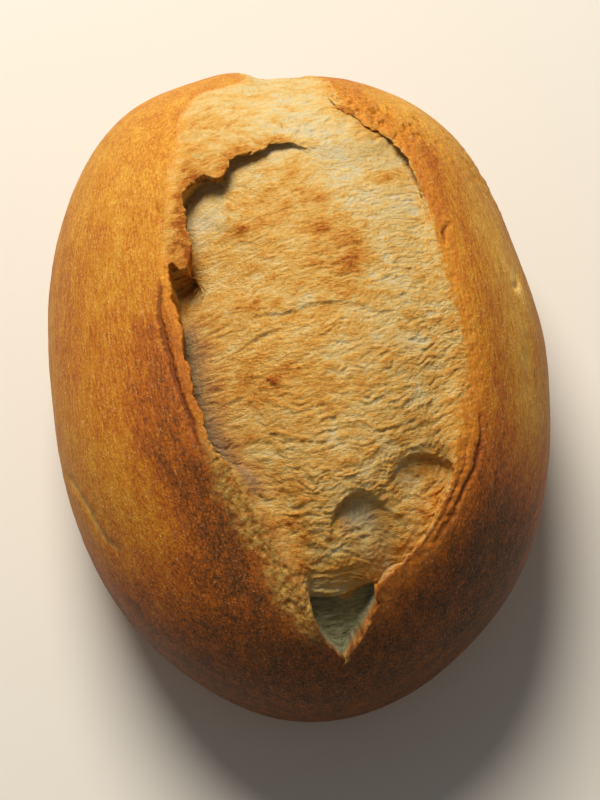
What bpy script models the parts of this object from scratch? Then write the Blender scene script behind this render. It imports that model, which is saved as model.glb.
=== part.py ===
"""A crusty bread roll with a torn split along its top, modelled as one closed solid.

Lengths are in millimetres until the last step, which writes metres. The roll lies along Y and rests
on its flat base at z = 0. Its relief is laid out on a chart of the surface: a unit ball flattened
onto a plane from its lowest point, so that (0, 0) is the middle of the top, the unit circle is the
widest level of the roll, the first coordinate runs along +X and the second along +Y.
"""

import math

import bpy
import numpy as np
from mathutils import Vector, noise

NAME = "bread_roll"

# Outer form
HALF_WIDTH = 42.0
HALF_LENGTH = 56.0
WIDEST_LEVEL = 22.0
CROWN_ABOVE_WIDEST = 35.0
BELLY_BELOW_WIDEST = 30.0
PLAN_ROUNDNESS = 1.95
CROWN_ROUNDNESS = 2.25
BELLY_ROUNDNESS = 2.8
BASE_EDGE_RADIUS = 4.0
CHART_MM = 68.0

# Slow lobes of the plan outline: waves round the roll, share of the radius, direction of a bulge
LOBES = (
    (3, 0.0113, math.radians(16)),
    (4, 0.0208, math.radians(42)),
    (5, 0.0093, math.radians(-20)),
    (6, 0.0073, math.radians(2)),
    (7, 0.0063, math.radians(6)),
)

# Soft swellings of the crust
SWELL_HEIGHT = 0.45
SWELL_LENGTH = 26.0

# The lips of the split, from its near tip. Each point has its place on the chart, then in
# millimetres the drop to the floor of the split, the overhang and the lift of the rim.
# The left lip ends in a torn tongue and the ragged edge of a flap that runs out to the right.
LEFT_LIP = (
    (0.004, -0.748, 0.5, 0.3, 0.0),
    (-0.026, -0.700, 3.2, 0.4, 0.0),
    (-0.044, -0.650, 4.4, 0.4, 0.0),
    (-0.058, -0.598, 5.0, 0.3, -0.4),
    (-0.093, -0.530, 4.6, 0.1, -1.2),
    (-0.130, -0.465, 4.4, 0.0, -1.6),
    (-0.160, -0.386, 4.0, 0.0, -1.2),
    (-0.188, -0.315, 3.8, 0.1, -0.4),
    (-0.212, -0.265, 3.6, 0.4, 0.4),
    (-0.234, -0.215, 3.8, 0.5, 0.6),
    (-0.253, -0.131, 4.0, 0.6, 1.0),
    (-0.260, -0.045, 4.2, 0.6, 1.0),
    (-0.266, 0.032, 4.6, 0.6, 1.0),
    (-0.275, 0.110, 5.2, 0.6, 1.0),
    (-0.266, 0.180, 5.4, 0.5, 0.8),
    (-0.248, 0.192, 5.4, 0.3, 0.6),
    (-0.228, 0.164, 5.4, 0.4, 0.6),
    (-0.213, 0.214, 5.2, 0.6, 0.8),
    (-0.214, 0.266, 4.8, 0.6, 0.8),
    (-0.208, 0.325, 4.6, 0.6, 0.8),
    (-0.188, 0.360, 4.4, 0.6, 0.8),
    (-0.149, 0.377, 3.8, 0.6, 0.8),
    (-0.116, 0.366, 3.2, 0.6, 0.7),
    (-0.098, 0.390, 2.8, 0.5, 0.6),
    (-0.078, 0.412, 2.2, 0.5, 0.5),
    (-0.020, 0.420, 1.6, 0.5, 0.5),
    (0.010, 0.436, 1.3, 0.5, 0.4),
    (0.090, 0.424, 0.8, 0.2, 0.2),
    (0.150, 0.424, 0.0, 0.0, 0.0),
)
RIGHT_LIP = (
    (0.004, -0.748, 0.5, 0.3, 0.0),
    (0.030, -0.690, 3.2, 0.5, 0.1),
    (0.064, -0.638, 4.4, 0.5, 0.2),
    (0.097, -0.604, 4.6, 0.5, 0.3),
    (0.092, -0.576, 4.2, 0.5, 0.3),
    (0.139, -0.540, 3.0, 0.5, 0.5),
    (0.209, -0.493, 2.4, 0.5, 0.8),
    (0.254, -0.435, 2.4, 0.4, 1.0),
    (0.300, -0.375, 2.6, 0.4, 1.0),
    (0.308, -0.325, 2.4, 0.2, 1.0),
    (0.350, -0.235, 1.2, 0.0, 0.8),
    (0.382, -0.130, 0.6, 0.0, 0.7),
    (0.372, 0.010, 0.5, 0.0, 0.7),
    (0.360, 0.140, 0.7, 0.1, 0.6),
    (0.338, 0.289, 1.2, 0.3, 0.5),
    (0.298, 0.397, 2.0, 0.5, 0.5),
    (0.231, 0.473, 2.6, 0.7, 0.5),
    (0.176, 0.552, 1.6, 0.3, 0.4),
    (0.182, 0.680, 0.7, 0.0, 0.1),
    (0.160, 0.880, 0.7, 0.0, 0.3),
    (0.080, 1.050, 0.3, 0.0, 0.2),
    (0.020, 1.120, 0.0, 0.0, 0.0),
)
# The left edge of the split where it runs down over the far end
FAR_LIP = (
    (-0.120, 0.560, 0.0, 0.0, 0.0),
    (-0.070, 0.640, 0.3, 0.0, 0.1),
    (-0.030, 0.700, 0.8, 0.0, 0.3),
    (-0.050, 0.880, 0.8, 0.0, 0.4),
    (-0.030, 1.040, 0.4, 0.0, 0.3),
    (0.020, 1.120, 0.0, 0.0, 0.0),
)
FAR_END_FROM = 0.50
FAR_END_BLEND = 0.16
RIM_REACH = 6.0
LEFT_RIM_BACK = 1.5
RIGHT_RIM_BACK = 3.5
FACE_REACH = 1.6
SOFT_FACE_REACH = 3.9
FOOT_REACH = 8.0
TORN_OVERHANG = 0.5
UNDERCUT = 0.7
VALLEY_REACH = 10.0
BLEND_STEP = 4

# Hollows of the split's floor: chart place, half size across and along, and depth in millimetres
HOLLOWS = (
    (0.012, -0.640, 5.5, 7.0, 3.0),
    (0.078, -0.425, 4.0, 3.2, 1.2),
    (0.218, -0.372, 4.6, 4.0, 1.4),
    (0.118, -0.515, 1.8, 5.0, 1.6),
    (-0.242, 0.140, 3.5, 5.5, 1.6),
)

# Steps of the torn floor: chart points of the crisp upper edge from left to right, then in
# millimetres the depth below it and how far it reaches
STEPS = (
    (((-0.068, -0.594), (-0.010, -0.578), (0.040, -0.588), (0.098, -0.586)), 3.0, 12.0),
    (((0.002, -0.450), (0.020, -0.400), (0.061, -0.378), (0.110, -0.385), (0.150, -0.425)), 1.5, 4.5),
    (((0.165, -0.345), (0.205, -0.312), (0.250, -0.315), (0.285, -0.350)), 1.1, 4.5),
    (((0.165, 0.545), (0.205, 0.500), (0.250, 0.465), (0.300, 0.410)), 0.9, 3.0),
)
STEP_FACE = 1.0

# Cracks: chart points, then half width and depth in millimetres
CRACKS = (
    (((-0.840, -0.190), (-0.701, -0.276), (-0.584, -0.415), (-0.515, -0.452), (-0.427, -0.470)), 1.3, 1.6),
    (((-0.303, 0.105), (-0.306, 0.012), (-0.282, -0.107), (-0.252, -0.257)), 0.6, 0.6),
    (((-0.133, 0.045), (-0.025, 0.028), (0.036, 0.038), (0.195, 0.001)), 0.8, 0.7),
    (((-0.149, -0.035), (-0.090, -0.015), (-0.036, -0.005)), 0.7, 0.7),
    (((0.392, -0.225), (0.368, -0.316), (0.312, -0.409), (0.221, -0.505)), 0.8, 0.9),
    (((0.548, 0.122), (0.635, -0.030), (0.603, -0.225)), 1.6, 0.6),
)

# Wrinkles of the torn crumb: they run across the split and sag towards its near end
WRINKLE_HEIGHT = 0.4
WRINKLE_SPACING = 3.4
WRINKLE_LENGTH = 14.0
WRINKLE_SAG = 0.55

BALL_SUBDIVISIONS = 8
MOST_TRIANGLES = 11500

CRUST_COLOUR = (0.46, 0.20, 0.045)


def clear_scene():
    for obj in list(bpy.context.scene.objects):
        bpy.data.objects.remove(obj, do_unlink=True)


def ease(value):
    """0 below 0, 1 above 1, and a smooth rise between them."""
    value = np.clip(value, 0.0, 1.0)
    return value * value * (3.0 - 2.0 * value)


def soft_noise(points, wavelength, seed):
    """Gradient noise of about -1 to 1 at each point."""
    offset = Vector((seed * 7.3, seed * 3.1, seed * 5.7))
    return np.array([1.6 * noise.noise(Vector(p) / wavelength + offset) for p in points])


def to_chart(direction):
    return direction[:, :2] / (1.0 + direction[:, 2:])


def from_chart(chart):
    square = (chart**2).sum(axis=1, keepdims=True)
    return np.hstack([2.0 * chart, 1.0 - square]) / (1.0 + square)


def envelope(direction):
    """The smooth outer form, as the point that lies in each direction from the middle of the widest level."""
    x, y, z = direction.T
    turn = np.arctan2(y, x)
    lobes = 1.0 + sum(share * np.cos(count * (turn - bulge)) for count, share, bulge in LOBES)
    plan = (np.abs(x / HALF_WIDTH) ** PLAN_ROUNDNESS + np.abs(y / HALF_LENGTH) ** PLAN_ROUNDNESS)
    plan = plan ** (1.0 / PLAN_ROUNDNESS) / lobes
    height = np.where(z < 0.0, BELLY_BELOW_WIDEST, CROWN_ABOVE_WIDEST)
    roundness = np.where(z < 0.0, BELLY_ROUNDNESS, CROWN_ROUNDNESS)
    reach = (plan**roundness + np.abs(z / height) ** roundness) ** (-1.0 / roundness)
    return direction * reach[:, None]


def rest_on_base(points):
    """Flattens what lies below the base, with a rounded edge."""
    above = points[:, 2] + WIDEST_LEVEL
    rounded = (above + BASE_EDGE_RADIUS) ** 2 / (4.0 * BASE_EDGE_RADIUS)
    level = np.where(above > BASE_EDGE_RADIUS, above, np.where(above < -BASE_EDGE_RADIUS, 0.0, rounded))
    return np.column_stack([points[:, :2], level])


def outward(direction):
    """The outer form's normal in each direction."""
    step = 0.002
    aside = np.cross(direction, (0.0, 1.0, 0.0))
    aside /= np.linalg.norm(aside, axis=1, keepdims=True)
    along = np.cross(direction, aside)

    def slope(way):
        ahead = direction + step * way
        behind = direction - step * way
        ahead /= np.linalg.norm(ahead, axis=1, keepdims=True)
        behind /= np.linalg.norm(behind, axis=1, keepdims=True)
        return envelope(ahead) - envelope(behind)

    normal = np.cross(slope(aside), slope(along))
    normal /= np.linalg.norm(normal, axis=1, keepdims=True)
    return normal * np.sign((normal * direction).sum(axis=1, keepdims=True))


def smooth_path(points, steps=20):
    """Samples of a smooth curve through the points, with their other values carried along."""
    p = np.array([points[0], *points, points[-1]], dtype=float)
    t = np.linspace(0.0, 1.0, steps, endpoint=False)[:, None]
    samples = []
    for before, start, end, after in zip(p, p[1:], p[2:], p[3:]):
        bend = 2.0 * before - 5.0 * start + 4.0 * end - after
        twist = 3.0 * start - before - 3.0 * end + after
        samples.append(start + 0.5 * ((end - before) * t + bend * t**2 + twist * t**3))
    return np.vstack([*samples, p[-1:]])


def fading_path(points):
    """A smooth path that carries a strength, 1 half way along and 0 at both ends."""
    path = smooth_path(points)
    share = np.linspace(0.0, math.pi, len(path))
    return np.column_stack([path, np.sqrt(np.sin(share).clip(0.0))])


def beside(chart, path, inner_side=1):
    """Distance from the path in millimetres, positive on its inner side (its right for 1 and its
    left for -1), distance from its nearest sample, the direction of the inner side there, and the
    path's values, blended over a stretch that widens with the distance."""
    run = np.gradient(path[:, :2], axis=0)
    run /= np.linalg.norm(run, axis=1, keepdims=True)
    inner = inner_side * np.column_stack([run[:, 1], -run[:, 0]])
    nearest = np.empty(len(chart), dtype=int)
    values = np.empty((len(chart), path.shape[1] - 2))
    for start in range(0, len(chart), 20000):
        block = chart[start : start + 20000]
        gap = (path[:, :2] ** 2).sum(axis=1) - 2.0 * block @ path[:, :2].T
        gap += (block**2).sum(axis=1, keepdims=True)
        chosen = gap.argmin(axis=1)
        nearest[start : start + 20000] = chosen
        least = gap[np.arange(len(block)), chosen].clip(0.0)
        stretch = 0.8 / CHART_MM + 0.35 * np.sqrt(least)
        weight = np.exp(-(gap[:, ::BLEND_STEP] - least[:, None]) / (stretch**2)[:, None])
        total = weight.sum(axis=1, keepdims=True)
        values[start : start + 20000] = weight @ path[::BLEND_STEP, 2:] / total
    away = chart - path[nearest, :2]
    distance = CHART_MM * (away * inner[nearest]).sum(axis=1)
    reach = CHART_MM * np.linalg.norm(away, axis=1)
    return distance, reach, inner[nearest], values


def lip(chart, points, inner_side, rim_back):
    """One lip of the split: how far it moves each point sideways, the rim's lift, the share of the way
    down its face, and the drop of the valley at its foot."""
    distance, reach, inner, values = beside(chart, smooth_path(points), inner_side)
    drop, overhang, lift = values.T
    torn = ease(overhang / TORN_OVERHANG)
    face = FACE_REACH + SOFT_FACE_REACH * (1.0 - torn)
    lean = overhang * ease((distance + RIM_REACH) / RIM_REACH) * ease(1.0 - distance / face)
    tuck = (face + UNDERCUT) * torn
    tuck = tuck * ease(distance / face) * ease((FOOT_REACH - distance) / (FOOT_REACH - face))
    sideways = inner * ((lean - tuck) / CHART_MM)[:, None]
    past_end = reach - np.abs(distance)
    rim = lift * np.exp(-(((distance + rim_back) / RIM_REACH) ** 2) - (past_end / RIM_REACH) ** 2)
    down = ease(distance / face)
    valley = drop * np.exp(-((np.maximum(distance, 0.0) / VALLEY_REACH) ** 2))
    return sideways, rim, down, valley


def hollows_depth(chart):
    depth = np.zeros(len(chart))
    for across, along, half_across, half_along, deepest in HOLLOWS:
        aside = (chart[:, 0] - across) * CHART_MM / half_across
        ahead = (chart[:, 1] - along) * CHART_MM / half_along
        depth += deepest * np.exp(-(aside**2) - ahead**2)
    return depth


def steps_depth(chart):
    """Depth of the torn floor below its steps."""
    depth = np.zeros(len(chart))
    for points, deepest, length in STEPS:
        distance, reach, _, strength = beside(chart, fading_path(points))
        past_end = (reach - np.abs(distance)) / STEP_FACE
        below = ease(distance / STEP_FACE) * np.exp(-((np.maximum(distance, 0.0) / length) ** 2))
        depth += deepest * strength[:, 0] * below * np.exp(-(past_end**2))
    return depth


def wrinkles(chart):
    across, along = (chart * CHART_MM).T
    sag = WRINKLE_SAG * np.clip(0.5 - chart[:, 1], 0.0, 1.0)
    level = along - sag * (across - 5.0) ** 2 / 40.0
    stretched = np.column_stack([across / WRINKLE_LENGTH, level / WRINKLE_SPACING, np.zeros(len(chart))])
    return WRINKLE_HEIGHT * (soft_noise(stretched, 1.0, 4) + 0.5 * soft_noise(stretched, 0.45, 6))


def crack_depth(chart):
    """Depth of the cracks, each deepest half way along."""
    depth = np.zeros(len(chart))
    for points, half_width, deepest in CRACKS:
        reach, strength = beside(chart, fading_path(points))[1::2]
        depth = np.maximum(depth, deepest * strength[:, 0] * np.exp(-((reach / half_width) ** 2)))
    return depth


def relief(chart):
    """Sideways shift on the chart and height above the outer form at each chart point."""
    left_shift, left_rim, in_left, left_valley = lip(chart, LEFT_LIP, 1, LEFT_RIM_BACK)
    right_shift, right_rim, in_right, right_valley = lip(chart, RIGHT_LIP, -1, RIGHT_RIM_BACK)
    far_shift, far_rim, in_far, far_valley = lip(chart, FAR_LIP, 1, LEFT_RIM_BACK)
    beyond = ease((chart[:, 1] - FAR_END_FROM) / FAR_END_BLEND)
    inside = in_left * in_right * (1.0 - beyond) + in_far * in_right * beyond
    valleys = np.maximum(left_valley * (1.0 - beyond), right_valley)
    valleys = np.maximum(valleys, far_valley * beyond)
    rims = left_rim * (1.0 - beyond) * (1.0 - in_left) + right_rim * (1.0 - in_right)
    rims = rims + far_rim * beyond * (1.0 - in_far)
    floor = wrinkles(chart) * (1.0 - 0.7 * beyond) - valleys - hollows_depth(chart) - steps_depth(chart)
    height = rims + inside * floor - crack_depth(chart)
    return left_shift * (1.0 - beyond)[:, None] + right_shift + far_shift * beyond[:, None], height


def roll_surface(direction):
    """The roll's surface point for each direction from the middle of the widest level."""
    points = envelope(direction)
    swell = SWELL_HEIGHT * soft_noise(points, SWELL_LENGTH, 1)
    on_top = direction[:, 2] > -0.35
    chart = to_chart(direction[on_top])
    shift, height = relief(chart)
    moved = direction.copy()
    moved[on_top] = from_chart(chart + shift)
    swell[on_top] += height
    return rest_on_base(envelope(moved) + outward(moved) * swell[:, None])


def crust_material():
    material = bpy.data.materials.new("crust")
    material.use_nodes = True
    shader = material.node_tree.nodes["Principled BSDF"]
    shader.inputs["Base Color"].default_value = (*CRUST_COLOUR, 1.0)
    shader.inputs["Roughness"].default_value = 0.6
    shader.inputs["Metallic"].default_value = 0.0
    return material


def make_roll():
    bpy.ops.mesh.primitive_ico_sphere_add(subdivisions=BALL_SUBDIVISIONS, radius=1.0)
    roll = bpy.context.object
    roll.name = NAME
    mesh = roll.data
    mesh.name = NAME
    places = np.empty(3 * len(mesh.vertices), dtype=np.float32)
    mesh.vertices.foreach_get("co", places)
    direction = places.reshape(-1, 3).astype(float)
    direction /= np.linalg.norm(direction, axis=1, keepdims=True)
    points = roll_surface(direction)
    middle = (points.min(axis=0) + points.max(axis=0)) / 2.0
    points[:, :2] -= middle[:2]
    mesh.vertices.foreach_set("co", (points / 1000.0).astype(np.float32).ravel())
    mesh.update()
    mesh.materials.append(crust_material())
    thin = roll.modifiers.new("Fewer triangles", "DECIMATE")
    thin.ratio = MOST_TRIANGLES / len(mesh.polygons)
    thin.use_collapse_triangulate = True
    mesh.shade_smooth()
    mesh.set_sharp_from_angle(angle=math.radians(50))
    return roll


def main():
    clear_scene()
    parts = bpy.data.collections.new("crusty_bread_roll")
    bpy.context.scene.collection.children.link(parts)
    roll = make_roll()
    for collection in list(roll.users_collection):
        collection.objects.unlink(roll)
    parts.objects.link(roll)


main()
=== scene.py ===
"""Looks of the crusty bread roll: a browned crust, and torn crumb in the split along its top.

Shapes are worked out in millimetres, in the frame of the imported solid, and written in metres. The
surface is laid out on a chart: a unit ball flattened onto a plane from its lowest point, so that
(0, 0) is the middle of the top, the unit circle is the widest level of the roll, the first coordinate
runs along +X and the second along +Y.
"""

import itertools
import math
from types import SimpleNamespace

import bpy
import numpy as np
from mathutils import Matrix, Vector, noise


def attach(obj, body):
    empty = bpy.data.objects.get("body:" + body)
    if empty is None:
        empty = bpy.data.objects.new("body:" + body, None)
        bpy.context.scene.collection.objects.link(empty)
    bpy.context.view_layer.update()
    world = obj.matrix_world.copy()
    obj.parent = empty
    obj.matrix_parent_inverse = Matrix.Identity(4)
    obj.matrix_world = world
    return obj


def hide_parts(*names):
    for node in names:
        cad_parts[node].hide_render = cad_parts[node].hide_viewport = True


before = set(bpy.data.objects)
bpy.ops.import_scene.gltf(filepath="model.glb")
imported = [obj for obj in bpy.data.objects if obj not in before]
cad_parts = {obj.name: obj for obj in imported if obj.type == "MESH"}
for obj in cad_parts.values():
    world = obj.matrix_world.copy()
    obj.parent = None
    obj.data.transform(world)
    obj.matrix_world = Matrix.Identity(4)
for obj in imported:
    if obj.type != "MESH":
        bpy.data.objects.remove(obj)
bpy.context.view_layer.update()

NODE = "bread_roll"
BODY = "root"
MM_PER_METRE = 1000.0

# Outer form, in millimetres
HALF_WIDTH = 42.0
HALF_LENGTH = 56.0
WIDEST_LEVEL = 22.0
CROWN_ABOVE_WIDEST = 35.0
BELLY_BELOW_WIDEST = 30.0
PLAN_ROUNDNESS = 1.95
CROWN_ROUNDNESS = 2.25
BELLY_ROUNDNESS = 2.8
BASE_EDGE_RADIUS = 4.0
CHART_MM = 68.0

# Slow lobes of the plan outline: waves round the roll, share of the radius, direction of a bulge
LOBES = (
    (3, 0.0113, math.radians(16)),
    (4, 0.0208, math.radians(42)),
    (5, 0.0093, math.radians(-20)),
    (6, 0.0073, math.radians(2)),
    (7, 0.0063, math.radians(6)),
)
# Slow swells of the whole surface, then the lengths and heights of its dimples, in millimetres
SWELL_HEIGHT = 0.45
SWELL_LENGTH = 26.0
SWELL_OFFSET = (7.3, 3.1, 5.7)
DIMPLES = ((7.0, 0.10), (1.7, 0.04))

# The lips of the split, from its near tip. Each point has its place on the chart, then in
# millimetres the drop to the floor of the split, the overhang and the lift of the rim.
# The left lip ends in a torn tongue and the ragged edge of a flap that runs out to the right.
LEFT_LIP = (
    (0.006, -0.790, 1.2, 0.2, 0.0),
    (-0.024, -0.725, 3.0, 0.4, 0.0),
    (-0.048, -0.660, 4.2, 0.4, 0.0),
    (-0.064, -0.598, 4.6, 0.3, -0.4),
    (-0.093, -0.530, 4.6, 0.1, -1.2),
    (-0.130, -0.465, 4.4, 0.0, -1.6),
    (-0.160, -0.386, 4.0, 0.0, -1.2),
    (-0.188, -0.315, 3.8, 0.1, -0.4),
    (-0.212, -0.265, 3.6, 0.4, 0.4),
    (-0.234, -0.215, 3.8, 0.5, 0.6),
    (-0.253, -0.131, 4.0, 0.6, 1.0),
    (-0.260, -0.045, 4.2, 0.6, 1.0),
    (-0.266, 0.032, 4.6, 0.6, 1.0),
    (-0.275, 0.110, 5.2, 0.6, 1.0),
    (-0.266, 0.180, 5.4, 0.5, 0.8),
    (-0.248, 0.192, 5.4, 0.3, 0.6),
    (-0.228, 0.164, 5.4, 0.4, 0.6),
    (-0.213, 0.214, 5.2, 0.6, 0.8),
    (-0.214, 0.266, 4.8, 0.6, 0.8),
    (-0.208, 0.325, 4.6, 0.6, 0.8),
    (-0.188, 0.360, 4.4, 0.6, 0.8),
    (-0.149, 0.377, 3.8, 0.6, 0.8),
    (-0.116, 0.366, 3.2, 0.6, 0.7),
    (-0.098, 0.390, 2.8, 0.5, 0.6),
    (-0.078, 0.412, 2.2, 0.5, 0.5),
    (-0.020, 0.420, 1.6, 0.5, 0.5),
    (0.010, 0.436, 1.3, 0.5, 0.4),
    (0.090, 0.424, 0.8, 0.2, 0.2),
    (0.150, 0.424, 0.0, 0.0, 0.0),
)
RIGHT_LIP = (
    (0.006, -0.790, 1.2, 0.2, 0.0),
    (0.030, -0.725, 3.0, 0.5, 0.1),
    (0.064, -0.655, 4.0, 0.5, 0.2),
    (0.097, -0.604, 4.6, 0.5, 0.3),
    (0.092, -0.576, 4.2, 0.5, 0.3),
    (0.139, -0.540, 3.0, 0.5, 0.5),
    (0.209, -0.493, 2.4, 0.5, 0.8),
    (0.254, -0.435, 2.4, 0.4, 1.0),
    (0.300, -0.375, 2.6, 0.4, 1.0),
    (0.308, -0.325, 2.4, 0.2, 1.0),
    (0.350, -0.235, 1.2, 0.0, 0.8),
    (0.382, -0.130, 0.6, 0.0, 0.7),
    (0.372, 0.010, 0.5, 0.0, 0.7),
    (0.360, 0.140, 0.7, 0.1, 0.6),
    (0.338, 0.289, 1.2, 0.3, 0.5),
    (0.298, 0.397, 2.0, 0.5, 0.5),
    (0.231, 0.473, 2.6, 0.7, 0.5),
    (0.176, 0.552, 1.6, 0.3, 0.4),
    (0.182, 0.680, 0.7, 0.0, 0.1),
    (0.160, 0.880, 0.7, 0.0, 0.3),
    (0.080, 1.050, 0.3, 0.0, 0.2),
    (0.020, 1.120, 0.0, 0.0, 0.0),
)
# The left edge of the split where it runs down over the far end
FAR_LIP = (
    (-0.120, 0.560, 0.0, 0.0, 0.0),
    (-0.070, 0.640, 0.3, 0.0, 0.1),
    (-0.030, 0.700, 0.8, 0.0, 0.4),
    (-0.050, 0.880, 1.0, 0.1, 1.1),
    (-0.030, 1.040, 0.6, 0.1, 0.8),
    (0.020, 1.120, 0.0, 0.0, 0.0),
)
# Places along the chart: the tips of the split, the notch by the tongue, the flaky part of the right
# lip, and where the far lip takes over from the left one
NEAR_TIP = -0.80
FAR_TIP = 1.13
NOTCH = 0.16
FLAKY_LIP = 0.50
FAR_END_FROM = 0.50
FAR_END_BLEND = 0.16
# Shape of a lip, in millimetres: how far its rim, face, foot and valley reach, how far behind its
# edge the rim is highest, the overhang of a fully torn lip and how far its face is undercut
RIM_REACH = 6.0
LEFT_RIM_BACK = 1.5
RIGHT_RIM_BACK = 3.5
FACE_REACH = 1.6
SOFT_FACE_REACH = 3.9
FOOT_REACH = 8.0
TORN_OVERHANG = 0.5
UNDERCUT = 0.7
VALLEY_REACH = 10.0
# Unevenness of a torn edge: length of its waves, their height and how far from the edge they reach,
# in millimetres. It is halved on the chart's part before FULL_TEARS_FROM.
TEARS = ((3.4, 0.50), (1.3, 0.34), (0.55, 0.22))
TEAR_REACH = 4.0
FULL_TEARS_FROM = -0.62
FULL_TEARS_BLEND = 0.12

# The inner side of a path, seen along it
ON_RIGHT = 1
ON_LEFT = -1
# How a path's values are blended: every tenth sample counts, over a stretch in millimetres that
# widens with the distance. The chart's points are taken in blocks.
BLEND_STEP = 10
BLEND_MM = 0.8
BLEND_SPREAD = 0.35
BLOCK = 20000

# Hollows of the split's floor: chart place, half size across and along, and depth in millimetres
HOLLOWS = (
    (0.012, -0.640, 5.5, 7.0, 1.6),
    (0.078, -0.425, 4.0, 3.2, 1.2),
    (0.218, -0.372, 4.6, 4.0, 1.4),
    (0.118, -0.515, 1.8, 5.0, 1.6),
    (-0.242, 0.140, 3.5, 5.5, 1.6),
)

# Steps of the torn floor: chart points of the crisp upper edge from left to right, then in
# millimetres the depth below it and how far it reaches
POCKET_EDGE = ((-0.068, -0.594), (-0.010, -0.578), (0.040, -0.588), (0.098, -0.586))
STEPS = (
    (POCKET_EDGE, 1.0, 12.0),
    (((0.002, -0.450), (0.020, -0.400), (0.061, -0.378), (0.110, -0.385), (0.150, -0.425)), 1.5, 4.5),
    (((0.165, -0.345), (0.205, -0.312), (0.250, -0.315), (0.285, -0.350)), 1.1, 4.5),
    (((-0.133, 0.045), (-0.025, 0.028), (0.036, 0.038), (0.113, 0.032), (0.195, 0.001)), 0.5, 3.0),
    (((-0.149, -0.035), (-0.090, -0.015), (-0.036, -0.005)), 0.6, 1.6),
    (((0.165, 0.545), (0.205, 0.500), (0.250, 0.465), (0.300, 0.410)), 1.4, 3.0),
)
STEP_FACE = 0.7
STEP_END = 1.2
FULLY_TORN_STEP = 1.2

# Cracks and bursts of the crust: chart points, then half width and depth in millimetres
CRACKS = (
    (((-0.290, 0.160), (-0.303, 0.085), (-0.302, 0.010), (-0.282, -0.107), (-0.245, -0.270)), 0.40, 0.70),
    (((0.392, -0.225), (0.368, -0.316), (0.312, -0.409), (0.221, -0.505)), 0.42, 0.42),
    (((0.345, -0.290), (0.318, -0.360), (0.270, -0.430), (0.200, -0.507)), 0.30, 0.22),
    (((-0.274, 0.210), (-0.255, 0.290), (-0.262, 0.330), (-0.225, 0.420)), 0.5, 0.22),
    (((0.368, 0.160), (0.372, 0.190), (0.392, 0.215)), 0.35, 0.40),
)
BURSTS = (
    (((-0.785, -0.233), (-0.701, -0.276), (-0.631, -0.347), (-0.584, -0.415), (-0.515, -0.452)), 1.0, 0.6),
    (((0.548, 0.122), (0.635, -0.030), (0.603, -0.225)), 1.5, 0.2),
    (((0.600, 0.090), (0.645, 0.120), (0.655, 0.160)), 0.8, 0.5),
)

# The line where smooth crust gives way to the torn flap, from the notch by the tongue
FOLD_LINE = (
    (-0.268, 0.150),
    (-0.277, 0.221),
    (-0.250, 0.332),
    (-0.208, 0.450),
    (-0.170, 0.600),
    (-0.100, 0.665),
    (-0.035, 0.700),
    (-0.050, 0.880),
    (0.020, 1.120),
)
# The edge of the well browned crust above the lower part of the left lip
BROWN_EDGE = (
    (-0.262, -0.240),
    (-0.238, -0.342),
    (-0.218, -0.396),
    (-0.195, -0.450),
    (-0.166, -0.500),
    (-0.144, -0.568),
    (-0.115, -0.640),
    (-0.070, -0.700),
)
# The upper edge of the toasted part of the crumb
TOASTED_EDGE = (
    (-0.130, 0.300),
    (-0.065, 0.352),
    (0.009, 0.386),
    (0.095, 0.375),
    (0.132, 0.306),
    (0.161, 0.240),
    (0.188, 0.143),
    (0.159, 0.061),
)

# The part of the chart that the split's own fine mesh covers: along, left edge, right edge
SPLIT_AREA = (
    (-0.84, -0.10, 0.12),
    (-0.74, -0.18, 0.17),
    (-0.62, -0.28, 0.26),
    (-0.48, -0.34, 0.38),
    (-0.25, -0.37, 0.49),
    (0.00, -0.39, 0.50),
    (0.25, -0.39, 0.47),
    (0.45, -0.36, 0.42),
    (0.62, -0.28, 0.35),
    (0.80, -0.20, 0.31),
    (1.00, -0.16, 0.24),
    (1.18, -0.07, 0.13),
)
# The split's mesh. Most of its rows lie before FINE_ROWS_TO, on the part that is seen best.
SPLIT_ROWS = 900
SPLIT_COLUMNS = 328
SPLIT_BANDS = 3
FINE_ROWS_SHARE = 0.86
FINE_ROWS_TO = 0.72
# The crust's mesh: how far it runs in under the split's mesh, how deep it lies there and how soon,
# and the level below which it keeps its place on the base, in millimetres
CRUST_SUBDIVISIONS = 8
CRUST_OVERLAP = 1.2
CRUST_SINK = 0.12
CRUST_SINK_BLEND = 0.8
BASE_LEVEL = 0.5
# Heights on the unit ball: the underside's upper edge, the lower edge of the top's chart, and where
# the chart runs out
UNDERSIDE_BELOW = -0.45
TOP_DOWN_TO = -0.35
CHART_DOWN_TO = -0.9

# Torn crumb: the bends of its layers, then layers that break across the split, fibres, lumps and
# grain, in millimetres. Its near end is coarser, with layers that run in arches.
NEAR_CRUMB_BEFORE = 0.05
NEAR_CRUMB_BLEND = 0.35
FLOW_WAVES = ((9.0, 0.9), (2.6, 0.5))
LAYER_HEIGHT = 0.22
LAYER_SPACING = 1.8
FIBRE_HEIGHT = 0.10
FIBRE_SPACING = 0.5
LUMP_HEIGHT = 0.20
GRAIN_HEIGHT = 0.14
GRAIN_SIZE = 0.45
# Dry, porous tears: lengths and heights of their lumps, and their pits, in millimetres
POROUS_LUMPS = ((1.3, 0.16), (0.6, 0.12))
PIT_SIZE = 1.5
PIT_DEPTH = 0.22
# Where the crumb is calm: chart place, half sizes in millimetres and share
CALM_CRUMB = (
    (0.060, 0.470, 9.0, 7.0, 0.5),
    (0.060, 0.640, 10.0, 9.0, 0.5),
    (0.030, -0.720, 6.0, 5.0, 0.6),
)

# Where the crust is rough and flaky
FLAKY_CRUST = ((0.225, 0.520, 6.0, 6.0, 1.8), (0.180, 0.640, 3.0, 6.0, 1.0))

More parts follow.
